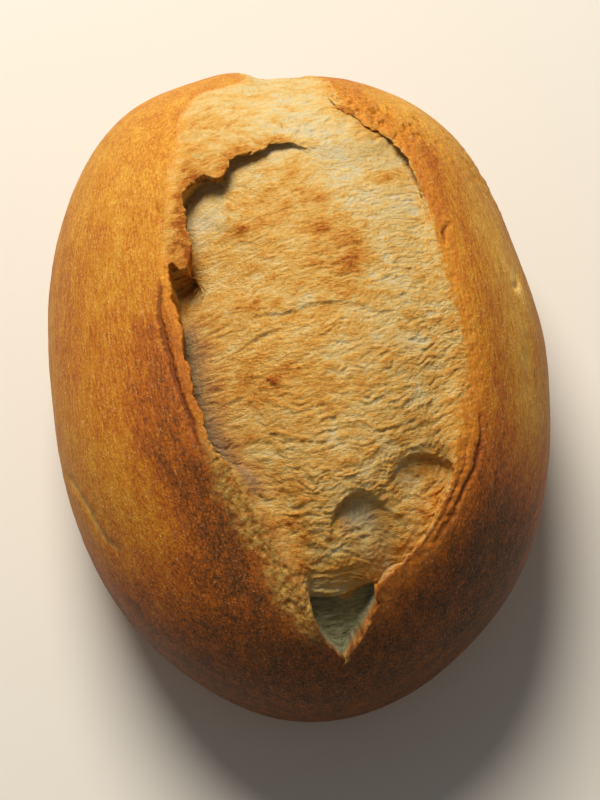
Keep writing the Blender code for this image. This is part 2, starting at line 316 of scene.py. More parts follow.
# How brown the crust is: a middle value, the banks along the lips and the near end, whose browning
# fades out towards the base at the chart's edge. The near end's darkening is partly baked brown and partly
# painted shade.
CRUST_MIDDLE_BROWN = 0.40
LEFT_BANK_BROWN = 0.27
RIGHT_BANK_BROWN = 0.14
NEAR_END_BROWN_AND_SHADE = 0.46
BROWN_CHART_EDGE = 1.42
BROWN_CHART_BLEND = 0.35
# Browner and paler spots, one of them painted shade on the lower right flank: chart place, half sizes and
# strength
CRUST_BROWNING_AND_SHADE = (
    (-0.305, -0.330, 7.0, 10.0, 0.06),
    (-0.245, -0.450, 6.0, 9.0, 0.10),
    # Painted shade: the lower right flank, darkened
    (0.420, -0.500, 16.0, 14.0, 0.24),
    (-0.400, 0.560, 12.0, 14.0, -0.06),
    (-0.600, 0.100, 9.0, 26.0, 0.10),
    (0.638, 0.105, 2.2, 3.0, -0.40),
    (0.580, 0.020, 6.0, 26.0, -0.16),
    (0.440, 0.240, 8.0, 14.0, -0.08),
    (0.350, 0.360, 3.5, 9.0, 0.12),
    (0.330, 0.560, 9.0, 12.0, -0.18),
)
# How toasted the crumb is: a least value, what its parts add, and the painted shade, brown and grey, of
# the valley under the left lip
LEAST_TOAST = 0.20
NEAR_HALF_TOAST = 0.18
RIGHT_LIP_TOAST = 0.12
FLAP_TOAST = 0.18
LEFT_EDGE_TOAST = 0.30
FLAKES_TOAST = 0.18
ARCH_TOAST = 0.20
VALLEY_PAINTED_SHADE = 0.62
VALLEY_SHADE_GREY = 0.55
# Spots that are more or less toasted, two of them partly painted shade: chart place, half sizes and
# strength
CRUMB_TOASTING_AND_SHADE = (
    (0.020, 0.240, 8.0, 7.0, 0.16),
    (0.100, 0.190, 6.0, 7.0, 0.08),
    (0.150, 0.150, 3.0, 4.0, 0.16),
    (0.220, 0.270, 5.0, 7.0, -0.06),
    (-0.110, 0.020, 9.0, 10.0, 0.18),
    (-0.060, -0.150, 9.0, 7.0, 0.16),
    (-0.134, -0.120, 2.4, 1.6, 0.24),
    (-0.092, -0.146, 2.6, 1.4, 0.16),
    (-0.042, -0.118, 3.4, 1.0, 0.25),
    (-0.091, 0.244, 3.0, 1.2, 0.34),
    (0.234, 0.329, 2.2, 1.4, 0.44),
    (0.175, 0.515, 4.0, 2.2, 0.40),
    (0.240, 0.445, 3.5, 2.5, 0.30),
    (-0.054, -0.406, 3.0, 4.5, 0.22),
    (-0.133, -0.427, 2.5, 4.0, 0.16),
    (-0.065, -0.487, 2.0, 3.0, 0.25),
    (-0.220, 0.330, 8.0, 14.0, 0.20),
    (-0.080, 0.500, 8.0, 9.0, 0.10),
    (0.090, 0.480, 12.0, 8.0, -0.30),
    (0.300, 0.160, 5.0, 12.0, -0.02),
    (0.150, 0.090, 8.0, 8.0, 0.08),
    (0.020, -0.560, 7.0, 1.6, -0.12),
    # Painted shade: the pocket's right wall, browned
    (0.080, -0.640, 3.0, 6.0, 0.40),
    # The hole under the tongue: browner, partly browning and partly painted shade
    (-0.238, 0.135, 2.2, 3.2, 0.30),
    (-0.150, 0.290, 3.0, 4.5, -0.30),
)
# Crumb painted pale and grey in two hollows, partly moist crumb and partly painted cool shade: chart
# place, half sizes in millimetres and share
GREY_CRUMB_AND_SHADE = (
    (0.074, -0.425, 3.6, 3.0, 0.55),
    (0.105, -0.520, 2.5, 4.0, 0.45),
)

# What the shares are below the top's chart, where they aren't 0
BELOW_SHARES = {"brown": CRUST_MIDDLE_BROWN, "ridge": 0.5}
# How high the floury base reaches, in millimetres
FLOURY_HEIGHT = 3.0

# Colours as red, green and blue from 0 to 255, for the crust and the crumb from pale to dark
CRUST_COLOURS = (
    (0.00, (226, 184, 100)),
    (0.22, (206, 154, 54)),
    (0.42, (190, 124, 32)),
    (0.62, (166, 88, 24)),
    (0.80, (116, 66, 26)),
    # The darkest stop also carries the near end's painted shade
    (1.00, (58, 44, 26)),
)
CRUMB_COLOURS = (
    (0.00, (232, 217, 176)),
    (0.25, (240, 208, 138)),
    (0.50, (234, 182, 94)),
    (0.75, (218, 148, 60)),
    (1.00, (170, 92, 32)),
)
EDGE_COLOUR = (206, 128, 46)
# Pale grey of the hollows: partly moist crumb, partly painted cool shade
GREY_CRUMB_AND_SHADE_COLOUR = (204, 196, 166)
# Greys of the pocket and of the valley under the left lip: partly moist crumb, partly painted shade
DARK_MOIST_AND_SHADE = (138, 138, 104)
PALE_MOIST_AND_SHADE = (190, 188, 148)
DARK_SLOPE = (146, 98, 36)
PALE_SLOPE = (200, 162, 84)
CRACK_COLOUR = (104, 48, 22)
BURST_COLOUR = (208, 168, 96)
SPECK_COLOUR = (242, 208, 146)
FLOUR_COLOUR = (236, 222, 192)
FLOOR_COLOUR = (214, 211, 205)

# Surfaces: roughness, sheen, and the depth of the fine bump in metres
CRUST_ROUGHNESS = 0.55
CRUMB_ROUGHNESS = 0.95
FLOOR_ROUGHNESS = 0.9
BREAD_SPECULAR = 0.16
BUMP_DEPTH = 0.0002

# The camera of the photograph, and the middle of its view in pixels from the aim
CAMERA_TURN = 0.1483
CAMERA_ELEVATION = math.radians(74)
CAMERA_DISTANCE = 0.45
CAMERA_CLIP_START = 0.01
FOCAL_PIXELS = 2694.8
PICTURE_HEIGHT = 800
SENSOR_MM = 36.0
AIM_RIGHT = -1.16
AIM_UP = -11.2

# The soft key light, the light of the room and the floor, in metres and watts
KEY_DIRECTION = (-0.10, 0.60, 0.78)
KEY_DISTANCE = 0.8
KEY_SIZE = 0.40
KEY_POWER = 9.3
KEY_COLOUR = (1.0, 0.92, 0.80)
ROOM_COLOUR = (1.0, 0.97, 0.92, 1.0)
ROOM_STRENGTH = 0.17
FLOOR_SIZE = 3.0
FLOOR_LEVEL = -0.0002

# Whole numbers that scatter the noise's cells, and what brings noise to about -1 to 1
PRIMES = (73856093, 19349663, 83492791)
SEED_FACTOR = 668265263
FIRST_FACTOR = 1274126177
SECOND_FACTOR = 2246822519
LOW_BITS = 0xFFFFFFFF
NOISE_GAIN = 1.6


def ease(value):
    """0 below 0, 1 above 1, and a smooth rise between them."""
    value = np.clip(value, 0.0, 1.0)
    return value * value * (3.0 - 2.0 * value)


def bell(value):
    """1 at 0, falling off on both sides."""
    return np.exp(-(value**2))


def grain_noise(points, seed):
    """Gradient noise of about -1 to 1 at points of two or three coordinates, one cell a unit."""
    cell = np.floor(points)
    inside = points - cell
    fade = inside * inside * (3.0 - 2.0 * inside)
    cell = cell.astype(np.int64)
    total = np.zeros(len(points))
    for corner in itertools.product((0, 1), repeat=points.shape[1]):
        mix = np.full(len(points), seed * SEED_FACTOR, dtype=np.int64)
        share = np.ones(len(points))
        for axis, side in enumerate(corner):
            mix = mix ^ ((cell[:, axis] + side) * PRIMES[axis])
            share = share * (fade[:, axis] if side else 1.0 - fade[:, axis])
        mix = ((mix & LOW_BITS) ^ ((mix & LOW_BITS) >> 13)) * FIRST_FACTOR & LOW_BITS
        mix = (mix ^ (mix >> 16)) * SECOND_FACTOR & LOW_BITS
        for axis, side in enumerate(corner):
            slope = ((mix >> (10 * axis)) & 1023) / 511.5 - 1.0
            total += share * slope * (inside[:, axis] - side)
    return NOISE_GAIN * total


def waves(places, sizes, seed):
    """Sum of noises of the given lengths and heights."""
    return sum(
        height * grain_noise(places / length, seed + k) for k, (length, height) in enumerate(sizes)
    )


def swell_noise(points):
    """Slow noise of about -1 to 1."""
    offset = Vector(SWELL_OFFSET)
    return np.array([NOISE_GAIN * noise.noise(Vector(p) / SWELL_LENGTH + offset) for p in points])


def to_chart(direction):
    """The chart places of directions."""
    return direction[:, :2] / (1.0 + direction[:, 2:])


def from_chart(chart):
    """The directions of chart places."""
    square = (chart**2).sum(axis=1, keepdims=True)
    return np.hstack([2.0 * chart, 1.0 - square]) / (1.0 + square)


def envelope(direction):
    """The smooth outer form, as the point in each direction from the middle of the widest level."""
    x, y, z = direction.T
    turn = np.arctan2(y, x)
    lobes = 1.0 + sum(share * np.cos(count * (turn - bulge)) for count, share, bulge in LOBES)
    plan = np.abs(x / HALF_WIDTH) ** PLAN_ROUNDNESS + np.abs(y / HALF_LENGTH) ** PLAN_ROUNDNESS
    plan = plan ** (1.0 / PLAN_ROUNDNESS) / lobes
    height = np.where(z < 0.0, BELLY_BELOW_WIDEST, CROWN_ABOVE_WIDEST)
    roundness = np.where(z < 0.0, BELLY_ROUNDNESS, CROWN_ROUNDNESS)
    reach = (plan**roundness + np.abs(z / height) ** roundness) ** (-1.0 / roundness)
    return direction * reach[:, None]


def rest_on_base(points):
    """Flattens what lies below the base, with a rounded edge."""
    above = points[:, 2] + WIDEST_LEVEL
    rounded = (above + BASE_EDGE_RADIUS) ** 2 / (4.0 * BASE_EDGE_RADIUS)
    level = np.where(above > BASE_EDGE_RADIUS, above, np.where(above < -BASE_EDGE_RADIUS, 0.0, rounded))
    return np.column_stack([points[:, :2], level])


def outward(direction):
    """The outer form's normal in each direction."""
    step = 0.002
    aside = np.cross(direction, (0.0, 1.0, 0.0))
    aside /= np.linalg.norm(aside, axis=1, keepdims=True)
    along = np.cross(direction, aside)

    def slope(way):
        ahead = direction + step * way
        behind = direction - step * way
        ahead /= np.linalg.norm(ahead, axis=1, keepdims=True)
        behind /= np.linalg.norm(behind, axis=1, keepdims=True)
        return envelope(ahead) - envelope(behind)

    normal = np.cross(slope(aside), slope(along))
    normal /= np.linalg.norm(normal, axis=1, keepdims=True)
    return normal * np.sign((normal * direction).sum(axis=1, keepdims=True))


def smooth_path(points, steps=60):
    """Samples of a smooth curve through the points, with their other values carried along."""
    p = np.array([points[0], *points, points[-1]], dtype=float)
    t = np.linspace(0.0, 1.0, steps, endpoint=False)[:, None]
    samples = []
    for before, start, end, after in zip(p, p[1:], p[2:], p[3:]):
        bend = 2.0 * before - 5.0 * start + 4.0 * end - after
        twist = 3.0 * start - before - 3.0 * end + after
        samples.append(start + 0.5 * ((end - before) * t + bend * t**2 + twist * t**3))
    return np.vstack([*samples, p[-1:]])


def fading_path(points):
    """A smooth path that carries a strength, 1 half way along and 0 at both ends."""
    path = smooth_path(points)
    share = np.linspace(0.0, math.pi, len(path))
    return np.column_stack([path, np.sqrt(np.sin(share).clip(0.0))])


def beside(chart, path, inner_side):
    """Distance from the path in millimetres, positive on its inner side, distance from its nearest
    sample, the direction of the inner side there, and the path's values, blended along it."""
    run = np.gradient(path[:, :2], axis=0)
    run /= np.linalg.norm(run, axis=1, keepdims=True)
    inner = inner_side * np.column_stack([run[:, 1], -run[:, 0]])
    nearest = np.empty(len(chart), dtype=int)
    values = np.empty((len(chart), path.shape[1] - 2))
    for start in range(0, len(chart), BLOCK):
        block = chart[start : start + BLOCK]
        gap = (path[:, :2] ** 2).sum(axis=1) - 2.0 * block @ path[:, :2].T
        gap += (block**2).sum(axis=1, keepdims=True)
        chosen = gap.argmin(axis=1)
        nearest[start : start + BLOCK] = chosen
        least = gap[np.arange(len(block)), chosen].clip(0.0)
        stretch = BLEND_MM / CHART_MM + BLEND_SPREAD * np.sqrt(least)
        weight = np.exp(-(gap[:, ::BLEND_STEP] - least[:, None]) / (stretch**2)[:, None])
        total = weight.sum(axis=1, keepdims=True)
        values[start : start + BLOCK] = weight @ path[::BLEND_STEP, 2:] / total
    away = chart - path[nearest, :2]
    distance = CHART_MM * (away * inner[nearest]).sum(axis=1)
    reach = CHART_MM * np.linalg.norm(away, axis=1)
    return distance, reach, inner[nearest], values


def tears(chart, seed):
    """Unevenness of a torn edge, in millimetres."""
    return waves(chart * CHART_MM, TEARS, seed)


def lip(chart, points, inner_side, rim_back, seed):
    """One lip of the split: its uneven distance and its nearest sample's, how torn it is, how far it
    moves each point sideways, the rim's lift, the share of the way down its face, and the drop of
    the valley at its foot."""
    distance, reach, inner, values = beside(chart, smooth_path(points), inner_side)
    drop, overhang, lift = values.T
    torn = ease(overhang / TORN_OVERHANG)
    past_near_end = ease((chart[:, 1] - FULL_TEARS_FROM) / FULL_TEARS_BLEND)
    ragged = (0.5 + 0.5 * torn) * (0.5 + 0.5 * past_near_end)
    edge = distance + ragged * tears(chart, seed) * bell(distance / TEAR_REACH)
    face = FACE_REACH + SOFT_FACE_REACH * (1.0 - torn)
    lean = overhang * ease((edge + RIM_REACH) / RIM_REACH) * ease(1.0 - edge / face)
    tuck = (face + UNDERCUT) * torn
    tuck = tuck * ease(edge / face) * ease((FOOT_REACH - edge) / (FOOT_REACH - face))
    past_end = reach - np.abs(distance)
    return SimpleNamespace(
        edge=edge,
        reach=reach,
        torn=torn,
        shift=inner * ((lean - tuck) / CHART_MM)[:, None],
        rim=lift * bell((edge + rim_back) / RIM_REACH) * bell(past_end / RIM_REACH),
        down=ease(edge / face),
        valley=drop * bell(np.maximum(distance, 0.0) / VALLEY_REACH),
    )


def blobs(chart, places):
    """Sum of soft spots: chart place, half size across and along in millimetres, and strength."""
    total = np.zeros(len(chart))
    for across, along, half_across, half_along, strength in places:
        aside = (chart[:, 0] - across) * CHART_MM / half_across
        ahead = (chart[:, 1] - along) * CHART_MM / half_along
        total += strength * np.exp(-(aside**2) - ahead**2)
    return total


def steps_depth(chart):
    """Depth of the torn floor below its steps."""
    depth = np.zeros(len(chart))
    uneven = tears(chart, 71)
    for points, deepest, length in STEPS:
        distance, reach, _, strength = beside(chart, fading_path(points), ON_RIGHT)
        past_end = reach - np.abs(distance)
        edge = distance + uneven * min(1.0, deepest / FULLY_TORN_STEP)
        below = ease(edge / STEP_FACE) * bell(np.maximum(distance, 0.0) / length)
        depth += deepest * strength[:, 0] * below * bell(past_end / STEP_END)
    return depth


def cut_depth(chart, cuts):
    """Depth of cracks or bursts, which wander and have uneven edges."""
    depth = np.zeros(len(chart))
    uneven = tears(chart, 91)
    for points, half_width, deepest in cuts:
        distance, reach, _, strength = beside(chart, fading_path(points), ON_RIGHT)
        past_end = reach - np.abs(distance)
        away = np.abs(distance + (0.2 + half_width) * uneven) + past_end
        depth = np.maximum(depth, deepest * strength[:, 0] * bell(away / half_width))
    return depth


def crumb_flow(chart, near_end):
    """Places in millimetres that follow the bent layers of the crumb."""
    across, along = (chart * CHART_MM).T
    arch = near_end * (across - 4.0) ** 2 / 80.0
    rise = (1.0 - near_end) * (0.06 * across + 0.0015 * (across + 10.0) ** 2)
    flow = np.column_stack([across, along - arch - rise])
    flow[:, 1] += waves(flow, FLOW_WAVES, 3)
    return flow


def crumb_relief(chart):
    """Height of the torn crumb against its smooth floor, and a share that is 1 on its ridges."""
    near_end = ease((NEAR_CRUMB_BEFORE - chart[:, 1]) / NEAR_CRUMB_BLEND)
    flow = crumb_flow(chart, near_end)
    step = flow[:, 1] / LAYER_SPACING + 1.1 * grain_noise(flow / (2.8, 1.5), 5)
    step = step - np.floor(step)
    saw = ease(step / 0.4) * (1.0 - ease((step - 0.4) / 0.6))
    patchy = ease(0.4 + 1.2 * grain_noise(flow / (3.6, 2.4), 6))
    layers = (saw - 0.4) * patchy
    thread = grain_noise(flow / (2.0, FIBRE_SPACING), 7)
    thread += 0.6 * grain_noise(flow / (1.1, 0.5 * FIBRE_SPACING), 8)
    fibres = 1.0 - 1.7 * np.abs(thread)
    lumps = 0.7 * grain_noise(flow / (4.0, 2.6), 9) + grain_noise(flow / (1.9, 0.9), 10)
    grain = grain_noise(flow / GRAIN_SIZE, 11)
    calm = 1.0 - blobs(chart, CALM_CRUMB)
    coarse = 0.8 + 0.3 * near_end
    height = coarse * (LAYER_HEIGHT * layers + LUMP_HEIGHT * lumps)
    height += FIBRE_HEIGHT * fibres + GRAIN_HEIGHT * grain
    ridge = 0.5 + 0.5 * layers + 0.25 * (fibres - 0.3) + 0.25 * lumps
    return calm * height, ridge


def porous_relief(chart):
    """Height of a dry, porous tear, as on the flap and along the lips."""
    places = chart * CHART_MM
    pits = ease((grain_noise(places / PIT_SIZE, 83) - 0.2) / 0.35)
    return waves(places, POROUS_LUMPS, 81) - PIT_DEPTH * pits


def torn_areas(chart, left, right, beyond):
    """Shares of crumb, of the flap and of the lips' toasted edges."""
    along = chart[:, 1]
    uneven = tears(chart, 61)
    soft = 1.0 - left.torn
    past_notch = ease((along - NOTCH) / 0.03)
    fold = beside(chart, smooth_path(FOLD_LINE), ON_RIGHT)[0]
    flap = ease((fold + 1.4 * uneven) / 2.6) * past_notch
    past_left = ease((left.edge + (0.6 + 1.0 * soft) * uneven - 0.3) / (0.9 + 1.8 * soft))
    flaky = bell((along - FLAKY_LIP) / 0.12)
    flakes = 1.4 * uneven + 0.9 * grain_noise(chart * CHART_MM / 0.8, 65)
    past_right = ease((right.edge + (1.0 + 1.8 * flaky) * flakes + 1.6 * flaky) / 1.1)
    ends = ease((FAR_TIP - along) / 0.04) * ease((along - NEAR_TIP) / 0.02)
    crumb = (past_left * (1.0 - past_notch) + flap) * past_right * ends
    left_edge = bell((left.edge + 0.3) / 1.1) * left.torn * ease((along + 0.30) / 0.1)
    right_edge = bell((right.edge + 1.0) / 2.0) * ease((0.62 - along) / 0.1)
    right_edge = right_edge * ease((along - NEAR_TIP) / 0.3)
    return SimpleNamespace(
        uneven=uneven,
        crumb=crumb,
        flap=flap * (1.0 - left.down) * (1.0 - beyond),
        flakes=flaky * bell((right.edge + 2.0) / 3.0),
        left_edge=left_edge,
        edges=np.maximum(left_edge, right_edge),
    )


def crust_shares(chart, left, right, torn):
    """How brown the crust is, darker at the near end partly as painted shade and on the lower right flank
    as painted shade, and the share of the rough slope below its lower left edge.
    """
    along = chart[:, 1]
    left_bank = LEFT_BANK_BROWN * bell((left.reach - 5.0) / 7.0) * ease((0.25 - along) / 0.35)
    right_bank = RIGHT_BANK_BROWN * bell((right.reach - 7.0 + 3.0 * ease(along / 0.3)) / 4.5)
    bank = np.maximum(left_bank, right_bank) * ease((along + 0.84) / 0.2)
    # Darker towards the near end: partly baked brown, partly painted shade
    near_end = NEAR_END_BROWN_AND_SHADE * ease((-0.24 - along) / 0.62)
    bank = np.maximum(bank, near_end) + 0.3 * np.minimum(bank, near_end)
    above_base = ease((BROWN_CHART_EDGE - np.linalg.norm(chart, axis=1)) / BROWN_CHART_BLEND)
    brown = CRUST_MIDDLE_BROWN + above_base * (blobs(chart, CRUST_BROWNING_AND_SHADE) + bank)
    past_brown, reach = beside(chart, smooth_path(BROWN_EDGE), ON_LEFT)[:2]
    ends = bell((reach - np.abs(past_brown)) / 1.5) * ease((along + 0.70) / 0.12)
    slope = ease((past_brown + 2.5 * torn.uneven) / 2.6) * ends * ease(1.0 - 0.3 * left.edge)
    return brown, slope


def crumb_shares(chart, left, right, torn):
    """How toasted the crumb is, with painted shade in the valley under the left lip, and the shares
    painted pale grey in the hollows and darker grey in the pocket, partly moist crumb and partly painted
    shade.
    """
    along = chart[:, 1]
    toast = LEAST_TOAST + NEAR_HALF_TOAST * ease((0.40 - along) / 0.75) + blobs(chart, CRUMB_TOASTING_AND_SHADE)
    toast = toast + RIGHT_LIP_TOAST * bell(right.edge / 5.0)
    toast = toast + FLAP_TOAST * torn.flap
    toast = toast + LEFT_EDGE_TOAST * torn.left_edge
    below_edge, reach = beside(chart, smooth_path(TOASTED_EDGE), ON_RIGHT)[:2]
    arch = ease((below_edge + 1.6 * torn.uneven) / 2.0) * bell(np.maximum(below_edge, 0.0) / 8.0)
    arch = arch * bell((reach - np.abs(below_edge)) / 3.0)
    toast = toast + FLAKES_TOAST * torn.flakes + ARCH_TOAST * arch
    # Painted shade: the crumb in the valley under the left lip is browned and greyed
    valley = ease((left.edge - 0.3) / 0.5) * bell((left.edge - 1.5 + torn.uneven) / 2.9)
    valley = valley * ease((0.12 - along) / 0.1) * ease((along + 0.38) / 0.06)
    # The pocket's floor and its right wall are painted grey, partly moist crumb and partly painted shade
    moist_and_shade = ease((beside(chart, smooth_path(POCKET_EDGE), ON_RIGHT)[0] + torn.uneven) / 0.6)
    moist_and_shade = moist_and_shade * ease((-0.52 - along) / 0.04) * ease((right.edge - 0.5) / 0.7)
    moist_and_shade = np.maximum(moist_and_shade, VALLEY_SHADE_GREY * valley)
    pale = np.clip(blobs(chart, GREY_CRUMB_AND_SHADE), 0.0, 1.0)
    return toast + VALLEY_PAINTED_SHADE * valley, pale, moist_and_shade


def split_shape(chart):
    """The split: how far it moves each chart place, its height, and the shares that colour it."""
    along = chart[:, 1]
    left = lip(chart, LEFT_LIP, ON_RIGHT, LEFT_RIM_BACK, 31)
    right = lip(chart, RIGHT_LIP, ON_LEFT, RIGHT_RIM_BACK, 41)
    far = lip(chart, FAR_LIP, ON_RIGHT, LEFT_RIM_BACK, 51)
    beyond = ease((along - FAR_END_FROM) / FAR_END_BLEND)
    inside = right.down * (left.down * (1.0 - beyond) + far.down * beyond)
    inside = inside * ease((along - NEAR_TIP) / 0.03)
    valleys = np.maximum(left.valley * (1.0 - beyond), right.valley)
    valleys = np.maximum(valleys, far.valley * beyond)
    rims = left.rim * (1.0 - beyond) * (1.0 - left.down) + right.rim * (1.0 - right.down)
    rims = rims + far.rim * beyond * (1.0 - far.down)
    torn = torn_areas(chart, left, right, beyond)
    rough, ridge = crumb_relief(chart)
    open_crumb = torn.crumb * (1.0 - torn.flap)
    brown, slope = crust_shares(chart, left, right, torn)
    rough_crust = np.maximum(0.6 * torn.edges, np.maximum(slope, blobs(chart, FLAKY_CRUST)))
    porous = np.maximum(torn.flap, rough_crust * (1.0 - open_crumb)) + 0.8 * torn.flakes
    cracks = cut_depth(chart, CRACKS)
    bursts = cut_depth(chart, BURSTS)
    depth = valleys + blobs(chart, HOLLOWS) + steps_depth(chart)
    height = rims - inside * depth + open_crumb * rough + porous * porous_relief(chart)
    height = height - cracks - bursts
    shift = left.shift * (1.0 - beyond)[:, None] + right.shift + far.shift * beyond[:, None]
    toast, pale, moist_and_shade = crumb_shares(chart, left, right, torn)
    shares = {
        "crumb": torn.crumb,
        "brown": brown,
        "toast": toast,
        "pale": pale,
        "moist_and_shade": moist_and_shade,
        "ridge": ridge,
        "edge": torn.edges,
        "slope": slope,
        "crack": cracks,
        "burst": bursts,
    }
    return shift, height, shares


def surface(direction):
    """The roll's surface in each direction, in millimetres, with the shares that colour it."""
    points = envelope(direction)
    relief = SWELL_HEIGHT * swell_noise(points) + waves(points, DIMPLES, 21)
    top = direction[:, 2] > TOP_DOWN_TO
    chart = to_chart(direction[top])
    shift, height, top_shares = split_shape(chart)
    moved = direction.copy()
    moved[top] = from_chart(chart + shift)
    relief[top] += height
    places = rest_on_base(envelope(moved) + outward(moved) * relief[:, None])
    shares = {"base": ease((FLOURY_HEIGHT - places[:, 2]) / FLOURY_HEIGHT)}
    for share, values in top_shares.items():
        shares[share] = np.full(len(direction), BELOW_SHARES.get(share, 0.0))
        shares[share][top] = values
    return places, shares


def split_edges(along):
    """Left and right edge of the split's own mesh, at places along the chart."""
    rows, left, right = np.array(SPLIT_AREA).T
    return np.interp(along, rows, left), np.interp(along, rows, right)


def split_rows():
    """Places of the fine mesh's rows, closer together on the part that is seen best."""
    fine = np.linspace(SPLIT_AREA[0][0], FINE_ROWS_TO, int(SPLIT_ROWS * FINE_ROWS_SHARE))
    coarse = np.linspace(FINE_ROWS_TO, SPLIT_AREA[-1][0], SPLIT_ROWS - len(fine) + 1)[1:]
    return np.concatenate([fine, coarse])


def new_piece(name, points, faces, shares, material):
    """A piece of the roll from points in millimetres, with the shares that colour it."""
    mesh = bpy.data.meshes.new(name)
    mesh.from_pydata((points / MM_PER_METRE).tolist(), [], faces)
    for share, values in shares.items():
        layer = mesh.attributes.new(share, "FLOAT", "POINT")
        layer.data.foreach_set("value", values.astype(np.float32))
    mesh.materials.append(material)
    mesh.shade_smooth()
    mesh.update()
    piece = bpy.data.objects.new(name, mesh)
    bpy.context.scene.collection.objects.link(piece)
    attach(piece, BODY)
    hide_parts(NODE)


def torn_split(middle, material):
    """The split with both its lips, in bands of fine mesh from the near tip to the far end."""
    rows = split_rows()
    left, right = split_edges(rows)
    share = np.linspace(0.0, 1.0, SPLIT_COLUMNS)
    across = left[:, None] + (right - left)[:, None] * share
    chart = np.column_stack([across.ravel(), np.repeat(rows, SPLIT_COLUMNS)])
    points, shares = surface(from_chart(chart))
    points[:, :2] -= middle
    grid = np.arange(len(chart)).reshape(len(rows), SPLIT_COLUMNS)
    band_rows = math.ceil((len(rows) - 1) / SPLIT_BANDS)
    for band, start in enumerate(range(0, len(rows) - 1, band_rows)):
        part = grid[start : start + band_rows + 1]
        first = part[0, 0]
        corners = (part[:-1, :-1], part[:-1, 1:], part[1:, 1:], part[1:, :-1])
        faces = np.stack([corner.ravel() - first for corner in corners], axis=1).tolist()
        used = slice(first, part[-1, -1] + 1)
        held = {name: values[used] for name, values in shares.items()}
        new_piece(f"torn_split_{band + 1}", points[used], faces, held, material)


def ball():
    """Directions and triangles of a fine ball."""
    bpy.ops.mesh.primitive_ico_sphere_add(subdivisions=CRUST_SUBDIVISIONS, radius=1.0)
    helper = bpy.context.object
    mesh = helper.data
    places = np.empty(3 * len(mesh.vertices), dtype=np.float32)
    mesh.vertices.foreach_get("co", places)
    corners = np.empty(3 * len(mesh.polygons), dtype=np.int32)
    mesh.polygons.foreach_get("vertices", corners)
    bpy.data.objects.remove(helper, do_unlink=True)
    bpy.data.meshes.remove(mesh)
    direction = places.reshape(-1, 3).astype(float)
    direction /= np.linalg.norm(direction, axis=1, keepdims=True)
    return direction, corners.reshape(-1, 3)


def inside_split_area(direction):
    """How far each point lies inside the split's own mesh, in millimetres."""
    chart = to_chart(direction)
    left, right = split_edges(chart[:, 1])
    ends = np.minimum(chart[:, 1] - SPLIT_AREA[0][0], SPLIT_AREA[-1][0] - chart[:, 1])
    sides = np.minimum(chart[:, 0] - left, right - chart[:, 0])
    return CHART_MM * np.minimum(ends, sides)


def crust(middle, direction, triangles, points, shares, material):
    """The crust round the split, and the underside."""
    depth = np.full(len(direction), -1.0)
    charted = direction[:, 2] > CHART_DOWN_TO
    depth[charted] = inside_split_area(direction[charted])
    sunk = points - outward(direction) * (CRUST_SINK * ease(depth / CRUST_SINK_BLEND))[:, None]
    sunk[:, 2] = np.where(points[:, 2] < BASE_LEVEL, points[:, 2], sunk[:, 2])
    sunk[:, :2] -= middle
    kept = (depth[triangles] < CRUST_OVERLAP).all(axis=1)
    low = (direction[triangles, 2] < UNDERSIDE_BELOW).all(axis=1)
    for name, chosen in (("crust", kept & ~low), ("underside", kept & low)):
        used, faces = np.unique(triangles[chosen], return_inverse=True)
        held = {share: values[used] for share, values in shares.items()}
        new_piece(name, sunk[used], faces.reshape(-1, 3).tolist(), held, material)


def linear(red, green, blue):
    """A colour given as 0 to 255, as the linear values that a shader takes."""
    shares = (value / 255.0 for value in (red, green, blue))
    return (*(s / 12.92 if s <= 0.04045 else ((s + 0.055) / 1.055) ** 2.4 for s in shares), 1.0)


